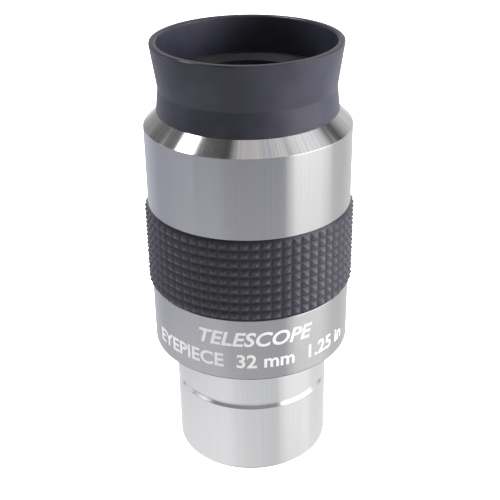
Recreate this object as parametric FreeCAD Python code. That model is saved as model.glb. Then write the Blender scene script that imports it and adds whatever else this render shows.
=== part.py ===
import FreeCAD, Part
import math
import os

os.makedirs("parts", exist_ok=True)

# Telescope eyepiece: two cemented doublets in a turned housing on a 1.25-inch barrel, with a rubber grip
# and a rubber eyecup whose skirt folds down. Millimetres, +Z along the optical axis towards the eye.
# The origin is on the axis, in the plane of the barrel's mouth.

# ---------------------------------------------------------------- driving dimensions

# Every turned piece sits in its bore with this radial gap.
fit_gap = 0.05
# Small edge breaks on turned edges.
edge_break = 0.2

# Nosepiece: the standard barrel that slides into a focuser.
barrel_diameter = 31.75
barrel_length = 25.7
barrel_wall = 1.475
mouth_chamfer = 0.5
undercut_height = 15.6
undercut_width = 1.25
undercut_depth = 0.5
seating_step = 0.675

# Female filter thread in the barrel's mouth, M28.5 x 0.6 on the standard barrel, as ring grooves.
thread_wall = 1.625
thread_pitch = 0.6
thread_turns = 8
thread_depth = 0.325

# Housing.
housing_diameter = 40.2
housing_height = 46.2
housing_chamfer = 0.3
bevel_height = 2.7
neck_wall = 0.75
neck_bead_rise = 0.3
neck_bead_width = 1.2
neck_bead_height = 2.2
cell_stop_below_bevel = 0.1

# Grip sleeve.
grip_height = 17.0
grip_above_shoulder = 13.4
grip_recess = 1.0
grip_valley_rise = 0.1
grip_tooth_rise = 0.65
grip_rows = 9
grip_border = 0.25

# Rubber eyecup.
eyecup_height = 13.3
collar_height = 4.65
collar_wall = 2.0
collar_taper = 0.5
collar_overhang = 0.2
collar_flange = 1.0
skirt_flare = 1.3
skirt_wall_at_crease = 1.01
skirt_wall_at_rim = 1.4
lip_height = 1.6
lip_round = 0.45
folded_gap = 0.3

# Glass: two equal doublets, each an equi-convex crown and a plano-concave flint.
lens_radius = 13.5
doublet_focal_length = 67.0
crown_index = 1.5168
flint_index = 1.6200
crown_thickness = 9.0
flint_thickness = 1.8
cement_thickness = 0.02
crown_gap = 0.5
lens_land = 0.6

# Lens cell, its retaining ring and its lock ring.
cell_body_wall = 1.6
cell_neck_wall = 1.15
cell_above_neck = 1.75
eye_lip_thickness = 0.9
eye_cone_height = 0.8
eye_cone_width = 2.0
eye_lip_width = 1.5
retainer_height = 2.0
retainer_thread_step = 0.45
retainer_lip = 1.1
retainer_relief = 0.3
retainer_sunk = 0.5
lock_ring_height = 3.0
lock_ring_wall = 1.55
spanner_slot_width = 1.5
spanner_slot_depth = 1.0

# Field stop.
stop_thickness = 1.5
stop_edge = 0.3
stop_seat_step = 0.4
stop_lip = 0.9
spigot_above_stop = 0.5
spigot_clearance = 0.3

# ---------------------------------------------------------------- worked-out optics

# Thin-lens power of an equi-convex crown with a plano-concave flint cemented to it.
crown_radius = doublet_focal_length * (2 * (crown_index - 1) - (flint_index - 1))
clear_radius = lens_radius - lens_land


def sag(radius_from_axis):
    """Depth of the crown's spherical surface at a distance from the axis."""
    return crown_radius - math.sqrt(crown_radius**2 - radius_from_axis**2)


def trace(surfaces):
    """Focal length and back focus for light that arrives parallel, by paraxial ray tracing.

    Each surface is its curvature, the index behind it, and the distance to the next surface.
    """
    height, angle, index = 1.0, 0.0, 1.0
    for curvature, next_index, distance in surfaces:
        angle = (index * angle - height * curvature * (next_index - index)) / next_index
        index = next_index
        height += distance * angle
    return -1 / angle, -height / angle


curve = 1 / crown_radius
glass_train = [
    (0, flint_index, flint_thickness),
    (curve, crown_index, crown_thickness),
    (-curve, 1, crown_gap),
    (curve, crown_index, crown_thickness),
    (-curve, flint_index, flint_thickness),
    (0, 1, 0),
]
focal_length, back_focus = trace(glass_train)
print(f"focal length {focal_length:.2f}, back focus {back_focus:.2f}, crown radius {crown_radius:.2f}")

# ---------------------------------------------------------------- worked-out radii

barrel_radius = barrel_diameter / 2
barrel_bore = barrel_radius - barrel_wall
spigot_radius = barrel_radius - seating_step
thread_major = barrel_radius - thread_wall
thread_minor = thread_major - thread_depth
stop_seat_radius = barrel_bore + stop_seat_step
stop_aperture = barrel_bore - stop_lip

housing_radius = housing_diameter / 2
recess_radius = housing_radius - grip_recess

cell_bore = lens_radius + fit_gap
cell_neck_radius = cell_bore + cell_neck_wall
cell_body_radius = cell_bore + cell_body_wall
neck_bore = cell_neck_radius + fit_gap
neck_radius = neck_bore + neck_wall
eye_aperture = lens_radius - eye_lip_width
retainer_bore = lens_radius - retainer_lip
retainer_seat_radius = cell_bore + retainer_thread_step + fit_gap

collar_radius = neck_radius + collar_wall
crease_radius = collar_radius - collar_taper
rim_radius = crease_radius + skirt_flare

# ---------------------------------------------------------------- worked-out heights

housing_bottom = barrel_length
grip_bottom = housing_bottom + grip_above_shoulder
grip_top = grip_bottom + grip_height
bevel_bottom = housing_bottom + housing_height
collar_bottom = bevel_bottom + bevel_height
crease = collar_bottom + collar_height
rim = collar_bottom + eyecup_height
lip_bottom = rim - lip_height
cell_stop = bevel_bottom - cell_stop_below_bevel

cell_top = crease + cell_above_neck
eye_cone_bottom = cell_top - eye_cone_height
glass_top = eye_cone_bottom - eye_lip_thickness
doublet_thickness = flint_thickness + cement_thickness + crown_thickness
glass_bottom = glass_top - 2 * doublet_thickness - crown_gap
glass_middle = (glass_top + glass_bottom) / 2
cell_bottom = glass_bottom - retainer_height - retainer_sunk

stop_height = glass_bottom - back_focus
spigot_top = stop_height + stop_thickness + spigot_above_stop

eyecup_travel = lip_bottom - crease - folded_gap
print(f"eyecup travel {eyecup_travel:.3f}, crease {crease:.3f}, field stop at {stop_height:.3f}")

# ---------------------------------------------------------------- helpers

axis_origin = FreeCAD.Vector(0, 0, 0)
axis_up = FreeCAD.Vector(0, 0, 1)


def turned(*outline):
    """Solid of revolution. Each step is a point (radius, height), or a pair of points for an arc."""
    corners = [step if isinstance(step[0], tuple) else (step,) for step in outline]
    edges = []
    here = FreeCAD.Vector(corners[-1][-1][0], 0, corners[-1][-1][1])
    for step in corners:
        points = [FreeCAD.Vector(radius, 0, height) for radius, height in step]
        if len(points) == 2:
            edges.append(Part.Arc(here, points[0], points[1]).toShape())
        else:
            edges.append(Part.LineSegment(here, points[0]).toShape())
        here = points[-1]
    return Part.Face(Part.Wire(edges)).revolve(axis_origin, axis_up, 360)


def ring(inner_radius, outer_radius, bottom, top):
    """Plain turned ring."""
    return turned((inner_radius, bottom), (outer_radius, bottom), (outer_radius, top), (inner_radius, top))


def slotted(piece, outer_radius, bottom):
    """Cut the two spanner slots across a ring's lower face."""
    slot = Part.makeBox(
        2 * outer_radius + 2,
        spanner_slot_width,
        spanner_slot_depth,
        FreeCAD.Vector(-outer_radius - 1, -spanner_slot_width / 2, bottom),
    )
    return piece.cut(slot)


def export(shape, node):
    """Write one node's solid."""
    shape = shape.removeSplitter()
    assert shape.isValid(), node
    shape.exportStep(f"parts/{node}.step")
    print(f"{node:22s} {len(shape.Solids)} solid, {shape.Volume / 1000:7.3f} cm3")


# ---------------------------------------------------------------- nosepiece and field stop


def nosepiece():
    """Chromed barrel: undercut outside, filter thread in the mouth, spigot that screws into the housing."""
    undercut_top = undercut_height + undercut_width
    undercut_radius = barrel_radius - undercut_depth
    outline = [
        (thread_major, 0),
        (barrel_radius - mouth_chamfer, 0),
        (barrel_radius, mouth_chamfer),
        (barrel_radius, undercut_height),
        (undercut_radius, undercut_height + undercut_depth),
        (undercut_radius, undercut_top),
        (barrel_radius, undercut_top),
        (barrel_radius, housing_bottom),
        (spigot_radius, housing_bottom),
        (spigot_radius, spigot_top - edge_break),
        (spigot_radius - edge_break, spigot_top),
        (stop_seat_radius, spigot_top),
        (stop_seat_radius, stop_height),
        (barrel_bore, stop_height),
    ]
    thread_bottom = thread_depth
    thread_top = thread_bottom + thread_turns * thread_pitch
    outline.append((barrel_bore, thread_top + barrel_bore - thread_minor))
    for turn in range(thread_turns):
        crest_top = thread_top - turn * thread_pitch
        outline.append((thread_minor, crest_top))
        outline.append((thread_minor, crest_top - thread_pitch / 4))
        outline.append((thread_major, crest_top - thread_pitch * 5 / 8))
    outline.append((thread_minor, thread_bottom))
    return turned(*outline)


def field_stop():
    """Ring whose lower inner edge is the knife edge that bounds the view."""
    outer_radius = stop_seat_radius - fit_gap
    top = stop_height + stop_thickness
    return turned(
        (stop_aperture, stop_height),
        (outer_radius, stop_height),
        (outer_radius, top),
        (stop_aperture + stop_lip, top),
        (stop_aperture, stop_height + stop_edge),
    )


# ---------------------------------------------------------------- housing and grip


def housing():
    """Turned shell: grip recess, polished bevel, and a neck with a bead that holds the eyecup."""
    bead_radius = neck_radius + neck_bead_rise
    bead_bottom = collar_bottom + neck_bead_height
    bead_top = bead_bottom + neck_bead_width
    bead_middle = (bead_bottom + bead_top) / 2
    spigot_bore = spigot_radius + fit_gap
    body_bore = cell_body_radius + fit_gap
    spigot_bore_top = spigot_top + spigot_clearance
    return turned(
        (spigot_bore, housing_bottom),
        (housing_radius - housing_chamfer, housing_bottom),
        (housing_radius, housing_bottom + housing_chamfer),
        (housing_radius, grip_bottom - edge_break),
        (housing_radius - edge_break, grip_bottom),
        (recess_radius, grip_bottom),
        (recess_radius, grip_top),
        (housing_radius - edge_break, grip_top),
        (housing_radius, grip_top + edge_break),
        (housing_radius, bevel_bottom),
        (collar_radius - collar_overhang, collar_bottom),
        (neck_radius, collar_bottom),
        (neck_radius, bead_bottom),
        (bead_radius, bead_middle),
        (neck_radius, bead_top),
        (neck_radius, crease - edge_break),
        (neck_radius - edge_break, crease),
        (neck_bore, crease),
        (neck_bore, cell_stop),
        (body_bore, cell_stop),
        (body_bore, spigot_bore_top),
        (spigot_bore, spigot_bore_top),
    )


def grip_sleeve():
    """Rubber band in the recess, with one ring of teeth for each row of the grip pattern."""
    valley_radius = housing_radius + grip_valley_rise
    tooth_radius = valley_radius + grip_tooth_rise
    first_row = grip_bottom + grip_border
    row_height = (grip_height - 2 * grip_border) / grip_rows
    outline = [(recess_radius + fit_gap, grip_bottom), (housing_radius, grip_bottom)]
    for row in range(grip_rows):
        row_bottom = first_row + row * row_height
        outline.append((valley_radius, row_bottom))
        outline.append((tooth_radius, row_bottom + row_height / 2))
    outline.append((valley_radius, grip_top - grip_border))
    outline.append((housing_radius, grip_top))
    outline.append((recess_radius + fit_gap, grip_top))
    return turned(*outline)


# ---------------------------------------------------------------- eyecup


def skirt_outside(height):
    """Outer radius of the flared skirt and lip."""
    return crease_radius + skirt_flare * (height - crease) / (rim - crease)


def skirt_inside(height):
    """Inner radius of the flared skirt and lip."""
    share = (height - crease) / (rim - crease)
    return skirt_outside(height) - skirt_wall_at_crease - (skirt_wall_at_rim - skirt_wall_at_crease) * share


def eyecup_collar():
    """Band stretched over the neck, with a groove for the neck's bead and a flange over its end."""
    bore = neck_radius + fit_gap
    groove_radius = bore + neck_bead_rise
    groove_bottom = collar_bottom + neck_bead_height - fit_gap
    groove_top = groove_bottom + neck_bead_width + 2 * fit_gap
    flange_top = cell_top - 2 * fit_gap
    flange_bottom_radius = skirt_inside(crease) - fit_gap
    flange_top_radius = skirt_inside(flange_top) - fit_gap
    flange_bore = flange_bottom_radius - collar_flange
    return turned(
        (bore, collar_bottom),
        (collar_radius - edge_break, collar_bottom),
        (collar_radius, collar_bottom + edge_break),
        (crease_radius, crease),
        (flange_bottom_radius, crease),
        (flange_top_radius, flange_top),
        (flange_bore, flange_top),
        (flange_bore, crease),
        (bore, crease),
        (bore, groove_top),
        (groove_radius, (groove_bottom + groove_top) / 2),
        (bore, groove_bottom),
    )


def eyecup_skirt():
    """Thin flared wall between the crease and the lip."""
    return turned(
        (skirt_inside(crease), crease),
        (skirt_outside(crease), crease),
        (skirt_outside(lip_bottom), lip_bottom),
        (skirt_inside(lip_bottom), lip_bottom),
    )


def eyecup_lip():
    """Rounded rim that the eye socket meets."""
    lip = turned(
        (skirt_inside(lip_bottom), lip_bottom),
        (skirt_outside(lip_bottom), lip_bottom),
        (skirt_outside(rim), rim),
        (skirt_inside(rim), rim),
    )
    rim_edges = [edge for edge in lip.Edges if abs(edge.BoundBox.ZMin - rim) < 1e-6]
    return lip.makeFillet(lip_round, rim_edges)


# ---------------------------------------------------------------- glass


def crown(bottom):
    """Equi-convex lens with a flat land round each face."""
    top = bottom + crown_thickness
    land_depth = sag(clear_radius)
    bulge = sag(clear_radius / 2)
    return turned(
        ((clear_radius / 2, bottom + bulge), (clear_radius, bottom + land_depth)),
        (lens_radius, bottom + land_depth),
        (lens_radius, top - land_depth),
        (clear_radius, top - land_depth),
        ((clear_radius / 2, top - bulge), (0, top)),
        (0, bottom),
    )


def flint(flat_face, side):
    """Plano-concave lens. side is 1 when the flat face looks up, towards the eye, and -1 when down."""
    hollow = flat_face - side * flint_thickness
    land = hollow - side * (cement_thickness + sag(clear_radius))
    return turned(
        (lens_radius, flat_face),
        (lens_radius, land),
        (clear_radius, land),
        (clear_radius, land + side * cement_thickness),
        ((clear_radius / 2, hollow - side * sag(clear_radius / 2)), (0, hollow)),
        (0, flat_face),
    )


def lens_spacer():
    """Ring between the lands of the two crowns."""
    half_height = crown_gap / 2 + sag(clear_radius)
    return ring(clear_radius, lens_radius, glass_middle - half_height, glass_middle + half_height)


# ---------------------------------------------------------------- lens cell and its rings


def lens_cell():
    """Black tube that drops in from below until its step meets the housing, with a lip over the glass."""
    relief_top = glass_bottom + retainer_relief
    return turned(
        (retainer_seat_radius, cell_bottom),
        (cell_body_radius, cell_bottom),
        (cell_body_radius, cell_stop),
        (cell_neck_radius, cell_stop),
        (cell_neck_radius, cell_top - edge_break),
        (cell_neck_radius - edge_break, cell_top),
        (eye_aperture + eye_cone_width, cell_top),
        (eye_aperture, eye_cone_bottom),
        (eye_aperture, glass_top),
        (cell_bore, glass_top),
        (cell_bore, relief_top),
        (retainer_seat_radius, relief_top),
    )


def field_lens_retainer():
    """Threaded ring that presses on the field flint."""
    bottom = glass_bottom - retainer_height
    outer_radius = retainer_seat_radius - fit_gap
    return slotted(ring(retainer_bore, outer_radius, bottom, glass_bottom), outer_radius, bottom)


def cell_lock_ring():
    """Threaded ring that holds the cell up against the housing's step."""
    bottom = cell_bottom - lock_ring_height
    inner_radius = cell_body_radius - lock_ring_wall
    return slotted(ring(inner_radius, cell_body_radius, bottom, cell_bottom), cell_body_radius, bottom)


# ---------------------------------------------------------------- build

field_crown_bottom = glass_bottom + flint_thickness + cement_thickness
eye_crown_bottom = glass_middle + crown_gap / 2

export(nosepiece(), "nosepiece")
export(field_stop(), "field_stop")
export(housing(), "housing")
export(grip_sleeve(), "grip_sleeve")
export(eyecup_collar(), "eyecup_collar")
export(eyecup_skirt(), "eyecup_skirt")
export(eyecup_lip(), "eyecup_lip")
export(flint(glass_top, 1), "eye_lens_flint")
export(crown(eye_crown_bottom), "eye_lens_crown")
export(lens_spacer(), "lens_spacer")
export(crown(field_crown_bottom), "field_lens_crown")
export(flint(glass_bottom, -1), "field_lens_flint")
export(lens_cell(), "lens_cell")
export(field_lens_retainer(), "field_lens_retainer")
export(cell_lock_ring(), "cell_lock_ring")
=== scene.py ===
# %% [markdown]
# A telescope eyepiece: a turned aluminium housing on a bright push-in barrel, a rubber grip with rows of
# small pyramids, a rubber eyecup, and two cemented lens pairs in a black cell. The engineering model is
# loaded first and stays as it is. It is the frame that everything here is measured from: a better looking
# piece either replaces one of its nodes, or the node stays and gets a real finish.

# %% Load the frame
import math

import bpy
from mathutils import Matrix, Vector


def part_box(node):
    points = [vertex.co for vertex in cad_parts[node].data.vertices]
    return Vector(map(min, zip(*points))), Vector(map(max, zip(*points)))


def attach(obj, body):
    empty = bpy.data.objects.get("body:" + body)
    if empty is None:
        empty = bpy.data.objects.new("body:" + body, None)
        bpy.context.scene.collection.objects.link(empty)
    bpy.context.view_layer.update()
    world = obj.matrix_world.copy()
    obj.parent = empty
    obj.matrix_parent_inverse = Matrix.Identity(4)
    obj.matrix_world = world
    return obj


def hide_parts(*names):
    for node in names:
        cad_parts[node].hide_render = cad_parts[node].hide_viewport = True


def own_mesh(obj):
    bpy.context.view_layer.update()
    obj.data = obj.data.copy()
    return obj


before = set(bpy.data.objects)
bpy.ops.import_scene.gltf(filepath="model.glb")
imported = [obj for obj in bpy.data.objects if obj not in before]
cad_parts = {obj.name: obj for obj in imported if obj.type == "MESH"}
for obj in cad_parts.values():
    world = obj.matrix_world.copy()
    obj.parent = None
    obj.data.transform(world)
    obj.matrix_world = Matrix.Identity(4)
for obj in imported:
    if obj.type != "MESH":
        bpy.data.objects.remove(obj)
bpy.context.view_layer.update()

print("nodes", sorted(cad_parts))

# %% [markdown]
# Blender works in metres, and this object is a few centimetres tall, so a millimetre gets a name. The main
# sizes are read off the frame's boxes. Every piece is round, so a box's right-hand face is its radius.

# %% Main sizes
mm = 0.001


def radius_of(node):
    """Outer radius of a turned node."""
    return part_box(node)[1][0]


def bottom_of(node):
    """Height of a node's lowest point."""
    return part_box(node)[0][2]


def top_of(node):
    """Height of a node's highest point."""
    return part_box(node)[1][2]


barrel_radius = radius_of("nosepiece")
body_radius = radius_of("housing")
body_bottom = bottom_of("housing")
grip_bottom = bottom_of("grip_sleeve")
grip_top = top_of("grip_sleeve")
tooth_radius = radius_of("grip_sleeve")
collar_bottom = bottom_of("eyecup_collar")
collar_radius = radius_of("eyecup_collar")
crease = bottom_of("eyecup_skirt")
lip_bottom = bottom_of("eyecup_lip")
rim = top_of("eyecup_lip")
rim_radius = radius_of("eyecup_lip")
cell_top = top_of("lens_cell")
print(f"barrel {barrel_radius / mm:.2f} mm, body {body_radius / mm:.2f} mm, rim at {rim / mm:.2f} mm")

# %% [markdown]
# An operator acts on everything that is selected, and the frame arrives selected. So each step starts by
# selecting one object and nothing else.

# %% Select one object


def select_only(piece):
    """Select one object and make it the active one."""
    bpy.ops.object.select_all(action="DESELECT")
    piece.select_set(True)
    bpy.context.view_layer.objects.active = piece


def apply_modifier(piece, kind, **settings):
    """Add a modifier to a piece, set it up and apply it at once."""
    select_only(piece)
    modifier = piece.modifiers.new(kind.title(), kind)
    for name, value in settings.items():
        setattr(modifier, name, value)
    bpy.ops.object.modifier_apply(modifier=modifier.name)


# %% [markdown]
# Nearly every piece of an eyepiece is turned on a lathe, and Blender has a lathe too: Spin. A single vertex
# is extruded from corner to corner until it has drawn half of the cross-section, and Spin carries that
# outline once round the axis. A Screw modifier would do the same, but Spin leaves a plain mesh at once.
# Real edges are never sharp, so an outline's corner may name how far from it the rounding starts, and the
# corner then becomes a short curve.

# %% The lathe
turning_steps = 192
rounding_steps = 3
smooth_below = math.radians(35)
weld_distance = 0.001 * mm


def rounded(outline):
    """Replace each corner (radius, height, rounding) of a closed outline by a short curve."""
    points = []
    for place, corner in enumerate(outline):
        here = Vector(corner[:2])
        if len(corner) == 2:
            points.append(here)
            continue
        before = Vector(outline[place - 1][:2])
        after = Vector(outline[(place + 1) % len(outline)][:2])
        start = here + (before - here).normalized() * corner[2]
        end = here + (after - here).normalized() * corner[2]
        for step in range(rounding_steps + 1):
            share = step / rounding_steps
            points.append(start.lerp(here, share).lerp(here.lerp(end, share), share))
    return points


def draw_outline(points):
    """Extrude one vertex through the points, in the plane y = 0, and leave it all selected."""
    bpy.ops.mesh.primitive_plane_add(size=mm)
    bpy.ops.object.mode_set(mode="EDIT")
    bpy.ops.mesh.merge(type="CENTER")
    here = points[0]
    bpy.ops.transform.translate(value=(here.x, 0, here.y))
    for point in points[1:] + points[:1]:
        step = (point.x - here.x, 0, point.y - here.y)
        bpy.ops.mesh.extrude_region_move(TRANSFORM_OT_translate={"value": step})
        here = point
    bpy.ops.mesh.select_all(action="SELECT")


def smooth(piece):
    """Smooth shading that keeps flats flat and keeps real corners sharp."""
    select_only(piece)
    bpy.ops.object.shade_smooth_by_angle(angle=smooth_below)
    apply_modifier(piece, "WEIGHTED_NORMAL", keep_sharp=True)


def turn(name, outline, steps=turning_steps):
    """Spin a closed outline of corners (radius, height) or (radius, height, rounding) about the axis."""
    bpy.ops.object.select_all(action="DESELECT")
    draw_outline(rounded(outline))
    bpy.ops.mesh.spin(steps=steps, angle=2 * math.pi, center=(0, 0, 0), axis=(0, 0, 1))
    bpy.ops.mesh.select_all(action="SELECT")
    bpy.ops.mesh.remove_doubles(threshold=weld_distance)
    bpy.ops.mesh.normals_make_consistent(inside=False)
    bpy.ops.object.mode_set(mode="OBJECT")
    piece = bpy.context.object
    piece.name = name
    piece.data.name = name
    smooth(piece)
    print(f"{name}: {len(piece.data.polygons)} faces")
    return piece


# %% [markdown]
# A material is a small tree of nodes. A few helpers keep the trees short: one adds a node and fills in its
# sockets, one starts a material with constant values on the Principled shader, and the others add what
# nearly every finish needs, which is noise, a colour ramp and a slight relief.

# %% Node helpers


def add_node(tree, kind, inputs=None, **settings):
    """Add a node with these settings. Each input is a value, or another node's output to link."""
    node = tree.nodes.new(kind)
    for name, value in settings.items():
        setattr(node, name, value)
    for name, value in (inputs or {}).items():
        if isinstance(value, bpy.types.NodeSocket):
            tree.links.new(value, node.inputs[name])
        else:
            node.inputs[name].default_value = value
    return node


def new_finish(name, constants):
    """New material with constant values on its shader: returns the material, its tree and its shader."""
    material = bpy.data.materials.new(name)
    material.use_nodes = True
    tree = material.node_tree
    shader = tree.nodes["Principled BSDF"]
    for socket, value in constants.items():
        shader.inputs[socket].default_value = value
    return material, tree, shader


def object_point(tree):
    """The surface point in the object's own metres."""
    return add_node(tree, "ShaderNodeTexCoord").outputs["Object"]


def noise(tree, place, scale, detail):
    """Noise between 0 and 1 with so many patches per metre."""
    inputs = {"Vector": place, "Scale": scale, "Detail": detail}
    return add_node(tree, "ShaderNodeTexNoise", inputs).outputs["Fac"]


def shades(tree, factor, *stops):
    """Colour ramp from stops of (position, colour)."""
    ramp = add_node(tree, "ShaderNodeValToRGB", {"Fac": factor})
    elements = ramp.color_ramp.elements
    while len(elements) < len(stops):
        elements.new(0.5)
    for element, (position, colour) in zip(elements, stops):
        element.position = position
        element.color = (*colour, 1)
    return ramp.outputs["Color"]


def bump(tree, shader, height, distance):
    """Raise the surface by a height from 0 to 1 times a distance."""
    inputs = {"Height": height, "Distance": distance, "Strength": 1.0}
    tree.links.new(add_node(tree, "ShaderNodeBump", inputs).outputs["Normal"], shader.inputs["Normal"])


# %% [markdown]
# A lathe leaves a very fine spiral on metal. Light that falls on it spreads up and down, across the lines,
# and hardly sideways, so upright reflections keep crisp sides and the surface still looks satin. That is
# anisotropy: the Tangent node gives the direction round the axis, and the Anisotropic value stretches the
# highlight. The lines themselves are noise that changes only with height. Faint duller streaks that run
# along the axis are painted into the colour. They are a painted reflection of the streaks that blurred
# reflections draw on turned metal, and they are mixed with random duller patches. They are noise that
# changes only with the direction from the axis, so each streak stays straight on a cone as well as on a
# cylinder.

# %% Turned metal
painted_streak_share = 0.8
fine_line = 0.00004 * mm
polishing_line = 0.0001 * mm


def turned_metal(name, colour, dull, roughness, anisotropy, line_depth):
    """Metal with the lines of a lathe, random duller patches, and duller axial lines painted in as a
    painted reflection.
    """
    material, tree, shader = new_finish(name, {"Metallic": 1.0, "Anisotropic": anisotropy,
                                               "Anisotropic Rotation": 0.25})
    point = object_point(tree)
    height = add_node(tree, "ShaderNodeSeparateXYZ", {"Vector": point}).outputs["Z"]
    lines = add_node(tree, "ShaderNodeTexNoise", {"W": height, "Scale": 9000.0, "Detail": 3.0},
                     noise_dimensions="1D").outputs["Fac"]
    cloud = noise(tree, point, 90.0, 4.0)
    across = add_node(tree, "ShaderNodeVectorMath", {0: point, 1: (1.0, 1.0, 0.0)}, operation="MULTIPLY")
    facing = add_node(tree, "ShaderNodeVectorMath", {0: across.outputs["Vector"]}, operation="NORMALIZE")
    # Painted reflection: duller streaks along the axis stand in for the streaks that reflections draw on
    # turned metal.
    painted_reflection_streaks = noise(tree, facing.outputs["Vector"], 60.0, 3.0)
    marks = add_node(tree, "ShaderNodeMix", {0: painted_streak_share, 2: cloud, 3: painted_reflection_streaks}).outputs[0]
    tree.links.new(shades(tree, marks, (0.4, dull), (0.6, colour)), shader.inputs["Base Color"])
    spread = add_node(tree, "ShaderNodeMapRange", {"Value": lines, "From Min": 0.3, "From Max": 0.7,
                                                   "To Min": roughness * 0.94, "To Max": roughness * 1.06})
    tree.links.new(spread.outputs["Result"], shader.inputs["Roughness"])
    bump(tree, shader, lines, line_depth)
    around = add_node(tree, "ShaderNodeTangent", direction_type="RADIAL", axis="Z")
    tree.links.new(around.outputs["Tangent"], shader.inputs["Tangent"])
    return material


satin = turned_metal("satin_aluminium", (0.55, 0.55, 0.555), (0.53, 0.53, 0.54), 0.22, 0.9, fine_line)
polished = turned_metal("polished_bevel", (0.79, 0.78, 0.78), (0.66, 0.64, 0.67), 0.10, 0.6, polishing_line)
bright = turned_metal("bright_barrel", (0.78, 0.78, 0.78), (0.75, 0.75, 0.75), 0.18, 0.9, fine_line)
print("turned metals made")

# %% [markdown]
# Black anodising is a thin dyed skin on aluminium: nearly black, slightly rough, with the machining still
# faintly there. Inside an eyepiece it is kept as dull as it can be, so that no stray light reaches the eye.

# %% Black anodised metal
machining_depth = 0.004 * mm


def anodised():
    """Matt black anodised aluminium."""
    constants = {"Metallic": 0.0, "Specular IOR Level": 0.35}
    material, tree, shader = new_finish("black_anodised", constants)
    grain = noise(tree, object_point(tree), 2500.0, 3.0)
    tree.links.new(shades(tree, grain, (0.35, (0.012, 0.012, 0.014)), (0.7, (0.022, 0.022, 0.025))),
                   shader.inputs["Base Color"])
    spread = add_node(tree, "ShaderNodeMapRange", {"Value": grain, "To Min": 0.35, "To Max": 0.6})
    tree.links.new(spread.outputs["Result"], shader.inputs["Roughness"])
    bump(tree, shader, grain, machining_depth)
    return material


black = anodised()
for node in ("lens_cell", "lens_spacer", "field_stop", "field_lens_retainer", "cell_lock_ring"):
    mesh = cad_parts[node].data
    mesh.materials.clear()
    mesh.materials.append(black)
print("black nodes finished")

# %% [markdown]
# Moulded rubber is a dark plastic-like surface with a fine eggshell grain. A little dust-coloured variation
# keeps it from looking like paint. The rim of the eyecup is rubbed smooth by use, so it gets a glossier
# finish of its own.

# %% Rubber
cup_grain = 0.12 * mm
cup_grain_depth = 0.004 * mm
rim_grain_depth = 0.002 * mm
roughness_swing = 0.06


def rubber(name, colour, roughness, shine, grain_depth):
    """Black moulded rubber."""
    constants = {"Metallic": 0.0, "Specular IOR Level": shine}
    material, tree, shader = new_finish(name, constants)
    point = object_point(tree)
    cloud = noise(tree, point, 160.0, 5.0)
    grain = noise(tree, point, 1 / cup_grain, 2.0)
    dusty = tuple(1.5 * channel + 0.001 for channel in colour)
    tree.links.new(shades(tree, cloud, (0.35, colour), (0.75, dusty)), shader.inputs["Base Color"])
    spread = add_node(tree, "ShaderNodeMapRange", {"Value": cloud, "To Min": roughness - roughness_swing,
                                                   "To Max": roughness + roughness_swing})
    tree.links.new(spread.outputs["Result"], shader.inputs["Roughness"])
    bump(tree, shader, grain, grain_depth)
    return material


cup_rubber = rubber("eyecup_rubber", (0.011, 0.011, 0.018), 0.38, 0.36, cup_grain_depth)
rim_rubber = rubber("worn_rim_rubber", (0.012, 0.012, 0.018), 0.20, 0.5, rim_grain_depth)
print("eyecup rubbers made")

# %% [markdown]
# Optical glass is clear, and its anti-reflection coating is one thin film of a lower index. The film
# cancels the middle of the spectrum and leaves a faint purple or green reflection.

# %% Coated glass


def coated_glass(name, index, film_thickness):
    """Clear optical glass with a thin anti-reflection film, thickness in nanometres."""
    constants = {
        "Base Color": (1, 1, 1, 1),
        "Roughness": 0.0,
        "IOR": index,
        "Transmission Weight": 1.0,
        "Thin Film Thickness": film_thickness,
        "Thin Film IOR": 1.38,
    }
    return new_finish(name, constants)[0]


crown_glass = coated_glass("crown_glass", 1.5168, 110.0)
flint_glass = coated_glass("flint_glass", 1.62, 125.0)
print("glasses made")

# %% [markdown]
# The housing is one turned shell: a body with a recess for the grip, a polished bevel, and the neck that
# the eyecup is stretched over. Its bright outside and its bore are one closed outline.

# %% Housing
grip_recess = 1.0 * mm
edge_break = 0.2 * mm
bevel_bottom = collar_bottom - 2.7 * mm
bevel_top_radius = collar_radius - edge_break
neck_radius = 15.5 * mm
neck_bore = 14.75 * mm
bead_radius = 15.8 * mm
bead_bottom = collar_bottom + 2.2 * mm
bead_top = bead_bottom + 1.2 * mm
cell_stop = bevel_bottom - 0.1 * mm
body_bore = 15.2 * mm
spigot_bore = 15.25 * mm
spigot_bore_top = top_of("field_stop") + 0.8 * mm
foot_round = 0.3 * mm
recess_round = 0.12 * mm
bevel_round = 0.06 * mm
shoulder_round = 0.05 * mm

housing = turn("housing_shell", [
    (spigot_bore, body_bottom),
    (body_radius, body_bottom, foot_round),
    (body_radius, grip_bottom, recess_round),
    (body_radius - grip_recess, grip_bottom),
    (body_radius - grip_recess, grip_top),
    (body_radius, grip_top, recess_round),
    (body_radius, bevel_bottom, bevel_round),
    (bevel_top_radius, collar_bottom, shoulder_round),
    (neck_radius, collar_bottom),
    (neck_radius, bead_bottom),
    (bead_radius, (bead_bottom + bead_top) / 2),
    (neck_radius, bead_top),
    (neck_radius, crease, edge_break),
    (neck_bore, crease),
    (neck_bore, cell_stop),
    (body_bore, cell_stop),
    (body_bore, spigot_bore_top),
    (spigot_bore, spigot_bore_top),
])
housing.data.materials.append(satin)
housing.data.materials.append(polished)
bevel_faces = 0
for face in housing.data.polygons:
    if bevel_bottom < face.center.z < collar_bottom and face.normal.z > 0.5:
        face.material_index = 1
        bevel_faces += 1
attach(housing, "eyepiece")
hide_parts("housing")
print("polished bevel:", bevel_faces, "faces")

# %% [markdown]
# The nosepiece is the standard barrel that slides into a focuser. An undercut stops it from slipping out
# when the focuser's screw is loosened, and the mouth is threaded for filters. A filter thread is only
# 0.6 mm from turn to turn, so it is a loop of ring grooves in the outline.

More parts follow.
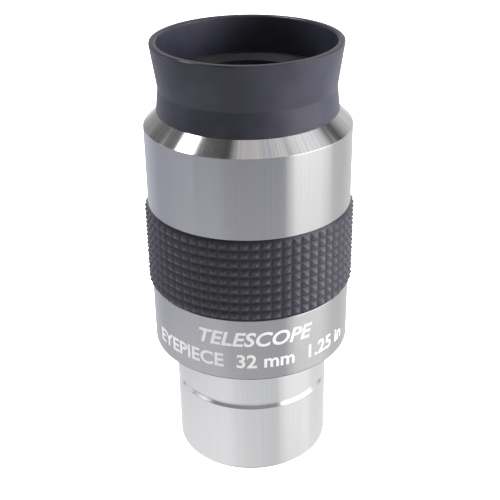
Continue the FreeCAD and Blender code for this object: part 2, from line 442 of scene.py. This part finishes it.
# %% Nosepiece
mouth_chamfer = 0.5 * mm
undercut_bottom = 15.6 * mm
undercut_top = undercut_bottom + 1.25 * mm
undercut_depth = 0.5 * mm
spigot_radius = barrel_radius - 0.675 * mm
barrel_bore = barrel_radius - 1.475 * mm
spigot_top = top_of("nosepiece")
stop_height = bottom_of("field_stop")
stop_seat_radius = radius_of("field_stop") + 0.05 * mm
thread_major = 14.25 * mm
thread_minor = 13.925 * mm
thread_pitch = 0.6 * mm
thread_turns = 8
thread_lead = 0.325 * mm
mouth_round = 0.08 * mm
groove_round = 0.05 * mm
ledge_round = 0.06 * mm

nose_outline = [
    (thread_major, 0),
    (barrel_radius - mouth_chamfer, 0, mouth_round),
    (barrel_radius, mouth_chamfer, mouth_round),
    (barrel_radius, undercut_bottom, groove_round),
    (barrel_radius - undercut_depth, undercut_bottom + undercut_depth, groove_round),
    (barrel_radius - undercut_depth, undercut_top),
    (barrel_radius, undercut_top, ledge_round),
    (barrel_radius, body_bottom),
    (spigot_radius, body_bottom),
    (spigot_radius, spigot_top, edge_break),
    (stop_seat_radius, spigot_top),
    (stop_seat_radius, stop_height),
    (barrel_bore, stop_height),
    (barrel_bore, thread_turns * thread_pitch + barrel_bore - thread_minor + thread_lead),
]
for groove in range(thread_turns):
    crest_top = thread_lead + (thread_turns - groove) * thread_pitch
    nose_outline.append((thread_minor, crest_top))
    nose_outline.append((thread_minor, crest_top - thread_pitch / 4))
    nose_outline.append((thread_major, crest_top - thread_pitch * 5 / 8))
nose_outline.append((thread_minor, thread_lead))

nosepiece = turn("nosepiece_barrel", nose_outline)
nosepiece.data.materials.append(bright)
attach(nosepiece, "eyepiece")
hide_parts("nosepiece")

# %% [markdown]
# The grip is a rubber band moulded all over with small four-sided pyramids: 64 round the band, in nine
# rows. A ring with 64 flat sides is extruded upwards a row at a time, which gives a net of square faces,
# and Poke raises each square's middle to a point. The ring is then closed by a plain band behind.

# %% Grip
grip_columns = 64
grip_rows = 9
grip_border = 0.25 * mm
valley_radius = body_radius + 0.1 * mm
sleeve_bore = body_radius - grip_recess + 0.05 * mm
row_height = (grip_top - grip_bottom - 2 * grip_border) / grip_rows
face_middle = valley_radius * math.cos(math.pi / grip_columns)


def next_ring(radius_from, radius_to, rise, height):
    """Extrude the selected ring of edges upwards and bring it to a new radius."""
    bpy.ops.mesh.extrude_edges_move(TRANSFORM_OT_translate={"value": (0, 0, rise)})
    scale = radius_to / radius_from
    bpy.ops.transform.resize(value=(scale, scale, 1), center_override=(0, 0, height))


bpy.ops.object.select_all(action="DESELECT")
bpy.ops.mesh.primitive_circle_add(vertices=grip_columns, radius=sleeve_bore, location=(0, 0, grip_bottom))
grip = bpy.context.object
grip.name = "grip_band"
bpy.ops.object.transform_apply(location=True)
bpy.ops.object.mode_set(mode="EDIT")
next_ring(sleeve_bore, body_radius, 0, grip_bottom)
next_ring(body_radius, valley_radius, grip_border, grip_bottom + grip_border)
for row in range(grip_rows):
    next_ring(valley_radius, valley_radius, row_height, grip_bottom + grip_border + (row + 1) * row_height)
next_ring(valley_radius, body_radius, grip_border, grip_top)
next_ring(body_radius, sleeve_bore, 0, grip_top)
next_ring(sleeve_bore, sleeve_bore, grip_bottom - grip_top, grip_bottom)
bpy.ops.mesh.select_all(action="SELECT")
bpy.ops.mesh.remove_doubles(threshold=weld_distance)
bpy.ops.mesh.normals_make_consistent(inside=False)
bpy.ops.object.mode_set(mode="OBJECT")
print("grip net:", len(grip.data.polygons), "faces")

# %% [markdown]
# The valleys between the pyramids are painted darker as painted shade, and the tips are lighter and
# smoother, as handling polishes them. The distance from the axis says how near a tip a point is, so it
# drives the colour and the roughness of the grip.

# %% Grip rubber
grip_grain = 0.1 * mm
grip_grain_depth = 0.003 * mm


def studded_rubber():
    """Black rubber whose tips are lighter and smoother than its valleys, which are darkened as painted
    shade.
    """
    material, tree, shader = new_finish("grip_rubber", {"Metallic": 0.0, "Specular IOR Level": 0.5})
    point = object_point(tree)
    across = add_node(tree, "ShaderNodeVectorMath", {0: point, 1: (1.0, 1.0, 0.0)}, operation="MULTIPLY")
    distance = add_node(tree, "ShaderNodeVectorMath", {0: across.outputs["Vector"]}, operation="LENGTH")
    reach = {"Value": distance.outputs["Value"], "From Min": face_middle, "From Max": tooth_radius}
    nearness = add_node(tree, "ShaderNodeMapRange", reach).outputs["Result"]
    # Painted shade in the valleys: the colour is darkest far from the tips and lightest at the worn tips.
    colour = shades(tree, nearness, (0.0, (0.004, 0.004, 0.008)), (0.35, (0.010, 0.0095, 0.015)),
                    (1.0, (0.028, 0.0265, 0.034)))
    tree.links.new(colour, shader.inputs["Base Color"])
    spread = add_node(tree, "ShaderNodeMapRange", {"Value": nearness, "To Min": 0.36, "To Max": 0.20})
    tree.links.new(spread.outputs["Result"], shader.inputs["Roughness"])
    bump(tree, shader, noise(tree, point, 1 / grip_grain, 2.0), grip_grain_depth)
    return material


grip_rubber = studded_rubber()
print("grip rubber made")

# %% Raise the pyramids
tip_cut = 0.04 * mm
tooth_edge = 0.05 * mm
for face in grip.data.polygons:
    outer = math.hypot(face.center.x, face.center.y) > face_middle - 0.01 * mm
    face.select = outer and abs(face.normal.z) < 0.01
for edge in grip.data.edges:
    edge.select = False
for vertex in grip.data.vertices:
    vertex.select = False
teeth = sum(face.select for face in grip.data.polygons)
bpy.ops.object.mode_set(mode="EDIT")
bpy.ops.mesh.select_mode(type="FACE")
bpy.ops.mesh.poke(offset=tooth_radius - face_middle + tip_cut)
bpy.ops.mesh.select_mode(type="VERT")
bpy.ops.object.mode_set(mode="OBJECT")
apply_modifier(grip, "BEVEL", width=tooth_edge, segments=1, limit_method="ANGLE",
               angle_limit=math.radians(25))
select_only(grip)
bpy.ops.object.shade_smooth_by_angle(angle=math.radians(28))
grip.data.materials.append(grip_rubber)
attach(grip, "eyepiece")
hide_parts("grip_sleeve")
print("pyramids:", teeth, "faces now", len(grip.data.polygons))

# %% [markdown]
# The eyecup is one rubber moulding in real life. Its collar holds the neck, its thin skirt folds down, and
# its rounded lip meets the eye. Here it is three pieces that meet flush: the collar and the skirt go with
# the eyepiece, and the lip has a body of its own, eyecup_rim, so that it can slide down.

# %% Eyecup shape
collar_bore = neck_radius + 0.05 * mm
crease_radius = collar_radius - 0.5 * mm
seam = crease + 0.15 * mm
flange_top = cell_top - 0.1 * mm
lip_round = 0.45 * mm
wall_at_crease = 1.01 * mm
wall_at_rim = 1.4 * mm
crease_round = 0.14 * mm
flange_round = 0.1 * mm
flange_inset = 0.05 * mm
groove_depth = 0.3 * mm


def skirt_share(height):
    """How far up the flare a height is, from 0 at the crease to 1 at the rim."""
    return (height - crease) / (rim - crease)


def cup_outside(height):
    """Outer radius of the flare."""
    return crease_radius + (rim_radius - crease_radius) * skirt_share(height)


def cup_inside(height):
    """Inner radius of the flare."""
    return cup_outside(height) - wall_at_crease - (wall_at_rim - wall_at_crease) * skirt_share(height)


print(f"cup inside {cup_inside(crease) / mm:.2f} mm low, {cup_inside(rim) / mm:.2f} mm high")

# %% Eyecup pieces
groove_bottom = bead_bottom - 0.05 * mm
groove_top = bead_top + 0.05 * mm
flange_bore = cup_inside(crease) - 1.05 * mm
collar = turn("eyecup_base", [
    (collar_bore, collar_bottom),
    (collar_radius, collar_bottom, edge_break),
    (crease_radius, crease, crease_round),
    (cup_outside(seam), seam),
    (cup_inside(seam), seam),
    (cup_inside(flange_top) - flange_inset, flange_top, flange_round),
    (flange_bore, flange_top, flange_round),
    (flange_bore, crease),
    (collar_bore, crease),
    (collar_bore, groove_top),
    (collar_bore + groove_depth, (groove_bottom + groove_top) / 2),
    (collar_bore, groove_bottom),
])
skirt = turn("eyecup_flare", [
    (cup_inside(seam), seam),
    (cup_outside(seam), seam),
    (cup_outside(lip_bottom), lip_bottom),
    (cup_inside(lip_bottom), lip_bottom),
])
lip = turn("eyecup_rim", [
    (cup_inside(lip_bottom), lip_bottom),
    (cup_outside(lip_bottom), lip_bottom),
    (rim_radius, rim, lip_round),
    (cup_inside(rim), rim, lip_round),
])

# %% [markdown]
# When the cup is folded down, the lip comes to rest just above the collar.

# %% Eyecup motion
for piece, body in ((collar, "eyepiece"), (skirt, "eyepiece"), (lip, "eyecup_rim")):
    piece.data.materials.append(cup_rubber)
    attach(piece, body)
lip.data.materials.append(rim_rubber)
worn_faces = 0
for face in lip.data.polygons:
    if face.normal.z > 0.3:
        face.material_index = 1
        worn_faces += 1
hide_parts("eyecup_collar")
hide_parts("eyecup_skirt")
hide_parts("eyecup_lip")
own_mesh(skirt)
print("worn edge:", worn_faces, "faces")

# %% [markdown]
# Each lens pair is a strong crown lens with a weaker flint cemented to it. A lens face is a piece of a
# sphere, so its outline is an arc whose depth follows from the radius of the sphere. The flat flint faces
# look out of the eyepiece at both ends, and the round crown faces look at each other in the middle.

# %% Lenses
sphere_radius = 27.71 * mm
lens_radius = radius_of("eye_lens_crown")
clear_radius = lens_radius - 0.6 * mm
arc_steps = 12
lens_steps = 96
flint_middle = 1.8 * mm


def sag(radius):
    """Depth of the crown's spherical face at a distance from the axis."""
    return sphere_radius - math.sqrt(sphere_radius**2 - radius**2)


def face_arc(height, direction):
    """Outline of a lens face from its edge to the axis. Direction 1 bulges up and -1 bulges down."""
    points = []
    for step in range(arc_steps + 1):
        radius = clear_radius * (1 - step / arc_steps)
        points.append((radius, height - direction * sag(radius)))
    return points


def crown(name, node):
    """Lens with two bulging faces."""
    low, high = bottom_of(node), top_of(node)
    edge = sag(clear_radius)
    upper = face_arc(high, 1)
    lower = face_arc(low, -1)
    rim_points = [(lens_radius, low + edge), (lens_radius, high - edge)]
    return turn(name, rim_points + upper + lower[::-1], steps=lens_steps)


def flint(name, node, flat_on_top):
    """Lens with one flat face and one hollow face."""
    low, high = bottom_of(node), top_of(node)
    if flat_on_top:
        hollow_middle = high - flint_middle
        hollow = face_arc(hollow_middle, 1)
        hollow_edge = hollow_middle - sag(clear_radius)
        outline = [(lens_radius, hollow_edge), (lens_radius, high), (0, high)] + hollow[::-1]
    else:
        hollow_middle = low + flint_middle
        hollow = face_arc(hollow_middle, -1)
        hollow_edge = hollow_middle + sag(clear_radius)
        outline = [(0, low), (lens_radius, low), (lens_radius, hollow_edge)] + hollow
    return turn(name, outline, steps=lens_steps)


lenses = {
    "eye_lens_crown": crown("eye_crown_glass", "eye_lens_crown"),
    "field_lens_crown": crown("field_crown_glass", "field_lens_crown"),
    "eye_lens_flint": flint("eye_flint_glass", "eye_lens_flint", True),
    "field_lens_flint": flint("field_flint_glass", "field_lens_flint", False),
}
for node, lens in lenses.items():
    lens.data.materials.append(crown_glass if node.endswith("crown") else flint_glass)
    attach(lens, "eyepiece")
    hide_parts(node)

# %% [markdown]
# The words on the housing are screen printed in white ink, which glows a little here so that it stays even
# on the darker side. Text is flat, so it is turned into a mesh, cut into narrow upright strips, and then
# each point's sideways distance becomes an angle round the body. The words only say what the thing is.

# %% White ink


def ink():
    """White screen-printing ink, very slightly uneven, that glows a little as painted light."""
    # Painted light: the emission makes the ink glow a little, though it is no lamp.
    constants = {"Specular IOR Level": 0.4, "Roughness": 0.45, "Emission Color": (1, 1, 1, 1),
                 "Emission Strength": 0.35}
    material, tree, shader = new_finish("glowing_white_ink", constants)
    patches = noise(tree, object_point(tree), 2500.0, 2.0)
    colour = shades(tree, patches, (0.3, (0.16, 0.16, 0.16)), (0.6, (0.20, 0.20, 0.20)))
    tree.links.new(colour, shader.inputs["Base Color"])
    return material


glowing_white_ink = ink()

# %% Printed words
ink_thickness = 0.03 * mm
strip_width = 0.4 * mm


def printed(name, words, letter_height, width_degrees, middle_degrees, base_height, slant):
    """Words wrapped round the front of the body, with their foot at a height."""
    bpy.ops.object.select_all(action="DESELECT")
    bpy.ops.object.text_add(location=(0, 0, 0))
    text = bpy.context.object
    text.data.body = words
    text.data.align_x = "CENTER"
    text.data.size = letter_height / 0.7
    text.data.offset = letter_height * 0.03
    text.data.shear = slant
    text.data.extrude = ink_thickness / 2
    text.data.resolution_u = 4
    bpy.ops.object.convert(target="MESH")
    text = bpy.context.object
    text.name = name
    corners = [vertex.co for vertex in text.data.vertices]
    left, right = min(c.x for c in corners), max(c.x for c in corners)
    stretch = math.radians(width_degrees) * body_radius / (right - left)
    bpy.ops.object.mode_set(mode="EDIT")
    bpy.ops.mesh.select_all(action="SELECT")
    bpy.ops.mesh.remove_doubles(threshold=weld_distance)
    strips = int((right - left) / strip_width)
    for strip in range(1, strips):
        bpy.ops.mesh.select_all(action="SELECT")
        bpy.ops.mesh.bisect(plane_co=(left + (right - left) * strip / strips, 0, 0), plane_no=(1, 0, 0))
    bpy.ops.object.mode_set(mode="OBJECT")
    middle = (left + right) / 2
    for vertex in text.data.vertices:
        angle = (vertex.co.x - middle) * stretch / body_radius + math.radians(middle_degrees)
        radius = body_radius + vertex.co.z + 0.3 * ink_thickness
        vertex.co = (radius * math.sin(angle), -radius * math.cos(angle), base_height + vertex.co.y)
    text.data.materials.append(glowing_white_ink)
    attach(text, "eyepiece")
    print(f"{name}: {strips} strips, {len(text.data.polygons)} faces, stretch {stretch:.2f}")


upper_letters = 3.0 * mm
upper_line = 33.5 * mm
lower_letters = 2.9 * mm
lower_line = 28.6 * mm
printed("print_upper", "TELESCOPE", upper_letters, 66.0, 3.0, upper_line, 0.25)
printed("print_lower", "EYEPIECE  32 mm  1.25 in", lower_letters, 128.0, 0.0, lower_line, 0.0)

# %% [markdown]
# The studio is a white tent with a few cards. Bright metal shows nothing but its surroundings, so the
# surroundings are drawn with care: three rings of cards, one for what lies low on the table, one for the
# table's far edge, and one overhead. The world shader looks up a direction's compass angle in each ring,
# blends the rings by elevation, and then hangs single cards in front of them. Only reflections see the
# cards. Soft shadows come from an even white dome, and the camera sees plain white behind the object.

# %% Card rings
cool = (0.94, 0.96, 1.10)
neutral = (1.0, 1.0, 1.0)
warm = (1.03, 1.0, 0.98)

# Each stop is a compass angle in degrees, 0 in front and positive to the right, with a brightness and tint.
low_cards = [
    (-180, 0.90, neutral), (-140, 0.90, neutral), (-90, 1.06, neutral), (-40, 1.22, neutral),
    (-5, 1.04, neutral), (35, 0.88, neutral), (43, 0.88, neutral), (50, 0.92, neutral),
    (82, 0.92, neutral), (94, 1.02, neutral), (110, 0.92, neutral), (140, 0.92, neutral),
    (180, 0.90, neutral),
]
table_cards = [
    (-180, 0.80, neutral), (-140, 0.66, cool), (-115, 0.52, cool), (-50, 0.58, cool),
    (-34, 0.57, cool), (-24, 0.46, cool), (-10, 0.45, cool), (10, 0.49, cool),
    (40, 0.56, cool), (42, 0.90, neutral), (52, 1.12, neutral),
    (62, 1.16, neutral), (84, 1.12, neutral), (94, 0.95, neutral), (101, 0.82, neutral),
    (125, 0.78, neutral), (145, 0.86, neutral), (180, 0.80, neutral),
]
upper_cards = [
    (-180, 0.50, neutral), (-148, 0.36, neutral), (-130, 0.17, neutral), (-107, 0.18, neutral),
    (-100, 0.22, neutral), (-79, 0.13, neutral), (-39, 0.08, neutral), (-30, 0.34, neutral),
    (-22, 0.52, warm), (20, 0.56, warm), (40, 0.54, cool), (43, 0.58, neutral),
    (45, 0.44, neutral), (47, 0.62, neutral),
    (53, 0.64, neutral), (55, 0.50, neutral), (57, 0.70, neutral), (67, 0.62, neutral),
    (70, 0.30, neutral), (72, 0.74, neutral), (87, 0.92, neutral), (100, 0.90, neutral),
    (110, 0.70, neutral), (115, 0.20, neutral), (125, 0.10, neutral), (134, 0.45, neutral),
    (148, 0.68, neutral), (180, 0.50, neutral),
]


def ring_of_cards(tree, compass, cards):
    """Colour ramp round the compass."""
    stops = []
    for angle, brightness, tint in cards:
        stops.append(((angle + 180) / 360, tuple(brightness * channel for channel in tint)))
    return shades(tree, compass, *stops)


print("cards:", len(low_cards), len(table_cards), len(upper_cards))

# %% World shader
dome_brightness = 0.5
scene = bpy.context.scene
scene.view_settings.view_transform = "Standard"
world = bpy.data.worlds.new("studio_tent")
scene.world = world
world.use_nodes = True
world.cycles.sampling_method = "NONE"
sky = world.node_tree
sky.nodes.clear()

direction = add_node(sky, "ShaderNodeTexCoord").outputs["Generated"]
parts = add_node(sky, "ShaderNodeSeparateXYZ", {"Vector": direction})
forward = add_node(sky, "ShaderNodeMath", {0: parts.outputs["Y"], 1: -1.0}, operation="MULTIPLY")
bearing = add_node(sky, "ShaderNodeMath", {0: parts.outputs["X"], 1: forward.outputs[0]},
                   operation="ARCTAN2").outputs[0]
compass = add_node(sky, "ShaderNodeMapRange", {"Value": bearing, "From Min": -math.pi,
                                               "From Max": math.pi}).outputs["Result"]
elevation = add_node(sky, "ShaderNodeMath", {0: parts.outputs["Z"]}, operation="ARCSINE").outputs[0]


def between(angle, low_degrees, high_degrees):
    """0 below one angle and 1 above another, smooth in between."""
    return add_node(sky, "ShaderNodeMapRange", {"Value": angle, "From Min": math.radians(low_degrees),
                                                "From Max": math.radians(high_degrees)},
                    interpolation_type="SMOOTHSTEP").outputs["Result"]


def mixed(factor, first, second):
    """Blend of two colours, each a colour or a link."""
    node = add_node(sky, "ShaderNodeMix", data_type="RGBA")
    for socket, value in ((0, factor), (6, first), (7, second)):
        if isinstance(value, bpy.types.NodeSocket):
            sky.links.new(value, node.inputs[socket])
        else:
            node.inputs[socket].default_value = value
    return node.outputs[2]


def hang_card(behind, brightness, left, right, low, high, edge):
    """Hang a soft-edged card between two compass angles and two elevations."""
    sides = (
        between(bearing, left - edge, left + edge),
        between(bearing, right + edge, right - edge),
        between(elevation, low - edge, low + edge),
        between(elevation, high + edge, high - edge),
    )
    cover = sides[0]
    for side in sides[1:]:
        cover = add_node(sky, "ShaderNodeMath", {0: cover, 1: side}, operation="MULTIPLY").outputs[0]
    return mixed(cover, behind, (brightness, brightness, brightness, 1))


low_ring = ring_of_cards(sky, compass, low_cards)
table_ring = ring_of_cards(sky, compass, table_cards)
upper_ring = ring_of_cards(sky, compass, upper_cards)
tent = mixed(between(elevation, -38, -28), low_ring, table_ring)
tent = mixed(between(elevation, -52, -44), (0.12, 0.12, 0.13, 1), tent)
tent = mixed(between(elevation, -12, 4), tent, upper_ring)

# Each card has a brightness, its left, right, lower and upper edge in degrees, and how soft the edges are.
single_cards = [
    (0.25, -60, 42, -16, 20, 4),  # keeps the front of the rubber dark
    (0.30, -66, 42, 20, 56, 3),  # greys the front of the undercut
    (0.95, -98, -68, 22, 44, 5),  # these five fade the undercut towards its ends
    (0.95, -118, -98, 10, 31, 3),
    (0.95, -138, -118, -9, 14, 3),
    (0.95, 97, 118, 10, 31, 3),
    (0.95, 118, 138, -9, 14, 3),
    (14.0, -135, -96, 57, 72, 3),  # glint on the worn rim
    (3.2, 47, 97, -12, 42, 2),  # the big soft box on the right
    (5.0, -103, -86, 40, 60, 2),  # the strip light seen in the bevel
]
for card in single_cards:
    tent = hang_card(tent, *card)


ray = add_node(sky, "ShaderNodeLightPath")
seen_cards = add_node(sky, "ShaderNodeBackground", {"Color": tent, "Strength": 1.0})
even_dome = add_node(sky, "ShaderNodeBackground", {"Color": (1, 1, 1, 1), "Strength": dome_brightness})
backdrop = add_node(sky, "ShaderNodeBackground", {"Color": (1, 1, 1, 1), "Strength": 1.05})
lit = add_node(sky, "ShaderNodeMixShader", {0: ray.outputs["Is Glossy Ray"], 1: even_dome.outputs[0],
                                            2: seen_cards.outputs[0]})
shown = add_node(sky, "ShaderNodeMixShader", {0: ray.outputs["Is Camera Ray"], 1: lit.outputs[0],
                                              2: backdrop.outputs[0]})
add_node(sky, "ShaderNodeOutputWorld", {"Surface": shown.outputs[0]})
print("world shader:", len(sky.nodes), "nodes")

# %% [markdown]
# A pale floor and two soft lamps finish the studio. The key lamp is a large panel on the right, which gives
# the rubber its lighter right-hand side, and a weaker one behind on the left lifts the other edge.
# Reflections ignore the floor and the lamps, because the cards already stand for what the metal sees. The
# floor lies a hair below the barrel's mouth, so that the two surfaces never coincide.

# %% Floor and lamps
floor_size = 4.0
floor_gap = 0.02 * mm
lamp_size = 0.25
lamp_height = 0.17


def floor_finish():
    """Matt white floor."""
    material, tree, shader = new_finish("white_floor", {"Roughness": 0.9, "Specular IOR Level": 0.0,
                                                        "Emission Color": (1, 1, 1, 1),
                                                        "Emission Strength": 1.0})
    grain = noise(tree, object_point(tree), 400.0, 2.0)
    colour = shades(tree, grain, (0.3, (0.93, 0.93, 0.93)), (0.7, (0.95, 0.95, 0.95)))
    tree.links.new(colour, shader.inputs["Base Color"])
    return material


bpy.ops.object.select_all(action="DESELECT")
bpy.ops.mesh.primitive_plane_add(size=floor_size, location=(0, 0, -floor_gap))
floor = bpy.context.object
floor.name = "studio_floor"
floor.data.materials.append(floor_finish())
floor.visible_glossy = False


def soft_lamp(name, right, back, watts, colour):
    """Square area lamp aimed at the middle of the eyepiece."""
    place = (right, back, lamp_height)
    bpy.ops.object.light_add(type="AREA", location=place)
    lamp = bpy.context.object
    lamp.name = name
    lamp.data.size = lamp_size
    lamp.data.energy = watts
    lamp.data.color = colour
    aim = Vector((0, 0, rim / 2)) - Vector(place)
    lamp.rotation_euler = aim.to_track_quat("-Z", "Y").to_euler()
    lamp.visible_camera = False
    lamp.visible_glossy = False
    print(name, watts, "W")


soft_lamp("key_lamp", 0.485, -0.055, 12.5, (1.0, 0.97, 0.92))
soft_lamp("fill_lamp", -0.444, 0.207, 6.0, (1.0, 1.0, 1.0))

# %% [markdown]
# The camera looks down at the eyepiece from in front with a longish lens, a hand's breadth and a half
# away, and it leans over by a degree.

# %% Camera
camera_place = (0, -177.7 * mm, 135.57 * mm)
camera_tilt = math.radians(62.72)
camera_roll = -0.01488
lens_length = 70.3
film_width = 36

bpy.ops.object.camera_add()
camera = bpy.context.object
camera.name = "studio_camera"
camera.data.sensor_width = film_width
camera.data.lens = lens_length
camera.data.clip_start = 0.01
camera.data.clip_end = 10
pose = Matrix.Translation(camera_place) @ Matrix.Rotation(camera_tilt, 4, "X")
camera.matrix_world = pose @ Matrix.Rotation(camera_roll, 4, "Z")
scene.camera = camera
print("camera", tuple(round(value, 3) for value in camera.location))
